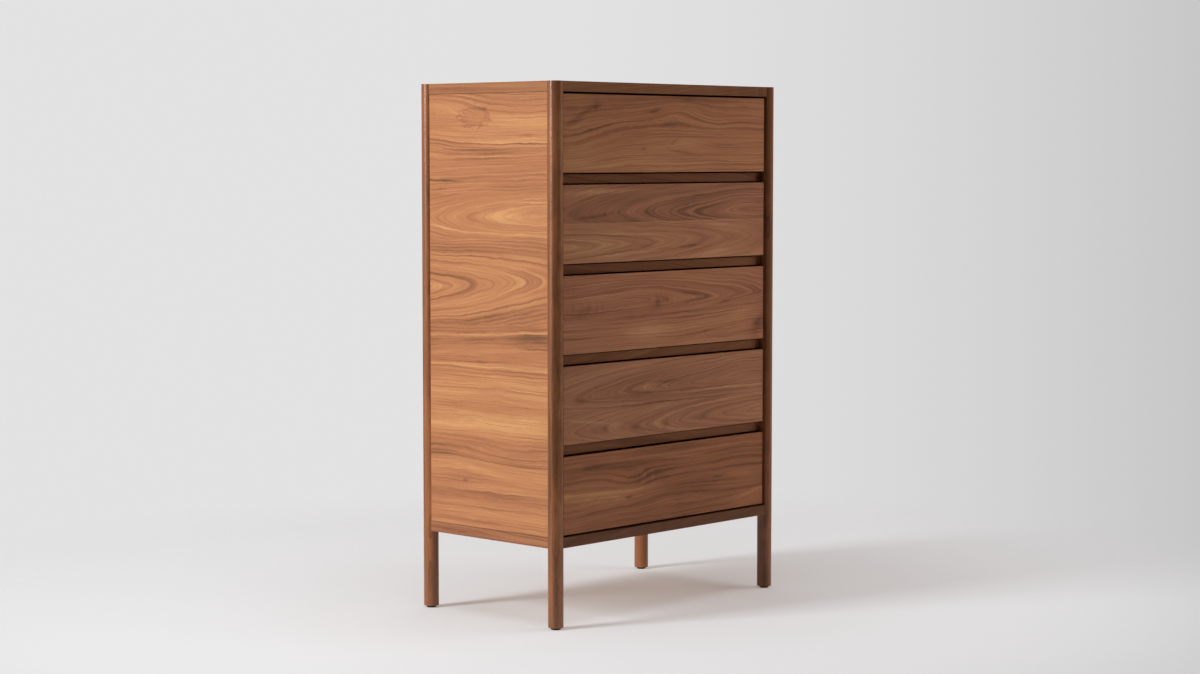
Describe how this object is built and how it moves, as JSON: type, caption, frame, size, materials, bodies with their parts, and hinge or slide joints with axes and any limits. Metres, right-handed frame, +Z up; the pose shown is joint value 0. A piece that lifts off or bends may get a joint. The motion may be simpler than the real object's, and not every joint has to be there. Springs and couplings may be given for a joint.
{
  "type": "chest of drawers",
  "caption": "Tall walnut chest of drawers on four full-height round posts, with plain drawer fronts, recessed finger gaps and full-extension slides.",
  "frame": {"origin": "on the floor under the middle of the case", "axes": "+Z up, the drawer fronts face -Y, and +X is to the right seen from the front"},
  "size_m": [0.77, 0.44, 1.22],
  "materials": {
    "walnut_posts": "satin oil",
    "walnut_boards": "satin oil",
    "walnut_side_panels": "satin oil",
    "walnut_back_panel": "satin oil",
    "walnut_rails": "satin oil",
    "walnut_fronts": "satin oil",
    "maple_boxes": "satin lacquer",
    "birch_floors": "satin lacquer",
    "poplar_cleats": "planed",
    "beech_dowels": "fluted, raw",
    "zinc_steel": "bright zinc plate",
    "black_glides": "matt"
  },
  "bodies": {
    "case": {"front_left_post": "walnut_posts", "front_right_post": "walnut_posts", "back_left_post": "walnut_posts", "back_right_post": "walnut_posts", "top_board": "walnut_boards", "bottom_board": "walnut_boards", "left_side_panel": "walnut_side_panels", "right_side_panel": "walnut_side_panels", "back_panel": "walnut_back_panel", "finger_gap_rail_1": "walnut_rails", "finger_gap_rail_2": "walnut_rails", "finger_gap_rail_3": "walnut_rails", "finger_gap_rail_4": "walnut_rails", "floor_glides": "black_glides", "case_dowels": "beech_dowels", "slide_cleats": "poplar_cleats", "slide_outer_members": "zinc_steel"},
    "drawer_1": {"drawer_1_front": "walnut_fronts", "drawer_1_left_side": "maple_boxes", "drawer_1_right_side": "maple_boxes", "drawer_1_box_front": "maple_boxes", "drawer_1_box_back": "maple_boxes", "drawer_1_floor": "birch_floors", "slide_inner_members_1": "zinc_steel"},
    "slide_middles_1": {"slide_middle_members_1": "zinc_steel"},
    "drawer_2": {"drawer_2_front": "walnut_fronts", "drawer_2_left_side": "maple_boxes", "drawer_2_right_side": "maple_boxes", "drawer_2_box_front": "maple_boxes", "drawer_2_box_back": "maple_boxes", "drawer_2_floor": "birch_floors", "slide_inner_members_2": "zinc_steel"},
    "slide_middles_2": {"slide_middle_members_2": "zinc_steel"},
    "drawer_3": {"drawer_3_front": "walnut_fronts", "drawer_3_left_side": "maple_boxes", "drawer_3_right_side": "maple_boxes", "drawer_3_box_front": "maple_boxes", "drawer_3_box_back": "maple_boxes", "drawer_3_floor": "birch_floors", "slide_inner_members_3": "zinc_steel"},
    "slide_middles_3": {"slide_middle_members_3": "zinc_steel"},
    "drawer_4": {"drawer_4_front": "walnut_fronts", "drawer_4_left_side": "maple_boxes", "drawer_4_right_side": "maple_boxes", "drawer_4_box_front": "maple_boxes", "drawer_4_box_back": "maple_boxes", "drawer_4_floor": "birch_floors", "slide_inner_members_4": "zinc_steel"},
    "slide_middles_4": {"slide_middle_members_4": "zinc_steel"},
    "drawer_5": {"drawer_5_front": "walnut_fronts", "drawer_5_left_side": "maple_boxes", "drawer_5_right_side": "maple_boxes", "drawer_5_box_front": "maple_boxes", "drawer_5_box_back": "maple_boxes", "drawer_5_floor": "birch_floors", "slide_inner_members_5": "zinc_steel"},
    "slide_middles_5": {"slide_middle_members_5": "zinc_steel"}
  },
  "joints": [
    {"name": "drawer_1_slide", "type": "slide", "parent": "case", "child": "drawer_1", "axis": [0, -1, 0], "range_m": [0, 0.35]},
    {"name": "slide_middles_1_travel", "type": "slide", "parent": "case", "child": "slide_middles_1", "axis": [0, -1, 0], "range_m": [0, 0.175]},
    {"name": "drawer_2_slide", "type": "slide", "parent": "case", "child": "drawer_2", "axis": [0, -1, 0], "range_m": [0, 0.35]},
    {"name": "slide_middles_2_travel", "type": "slide", "parent": "case", "child": "slide_middles_2", "axis": [0, -1, 0], "range_m": [0, 0.175]},
    {"name": "drawer_3_slide", "type": "slide", "parent": "case", "child": "drawer_3", "axis": [0, -1, 0], "range_m": [0, 0.35]},
    {"name": "slide_middles_3_travel", "type": "slide", "parent": "case", "child": "slide_middles_3", "axis": [0, -1, 0], "range_m": [0, 0.175]},
    {"name": "drawer_4_slide", "type": "slide", "parent": "case", "child": "drawer_4", "axis": [0, -1, 0], "range_m": [0, 0.35]},
    {"name": "slide_middles_4_travel", "type": "slide", "parent": "case", "child": "slide_middles_4", "axis": [0, -1, 0], "range_m": [0, 0.175]},
    {"name": "drawer_5_slide", "type": "slide", "parent": "case", "child": "drawer_5", "axis": [0, -1, 0], "range_m": [0, 0.35]},
    {"name": "slide_middles_5_travel", "type": "slide", "parent": "case", "child": "slide_middles_5", "axis": [0, -1, 0], "range_m": [0, 0.175]}
  ],
  "couplings": [
    {"joint": "slide_middles_1_travel", "follows": "drawer_1_slide", "ratio": 0.5},
    {"joint": "slide_middles_2_travel", "follows": "drawer_2_slide", "ratio": 0.5},
    {"joint": "slide_middles_3_travel", "follows": "drawer_3_slide", "ratio": 0.5},
    {"joint": "slide_middles_4_travel", "follows": "drawer_4_slide", "ratio": 0.5},
    {"joint": "slide_middles_5_travel", "follows": "drawer_5_slide", "ratio": 0.5}
  ]
}
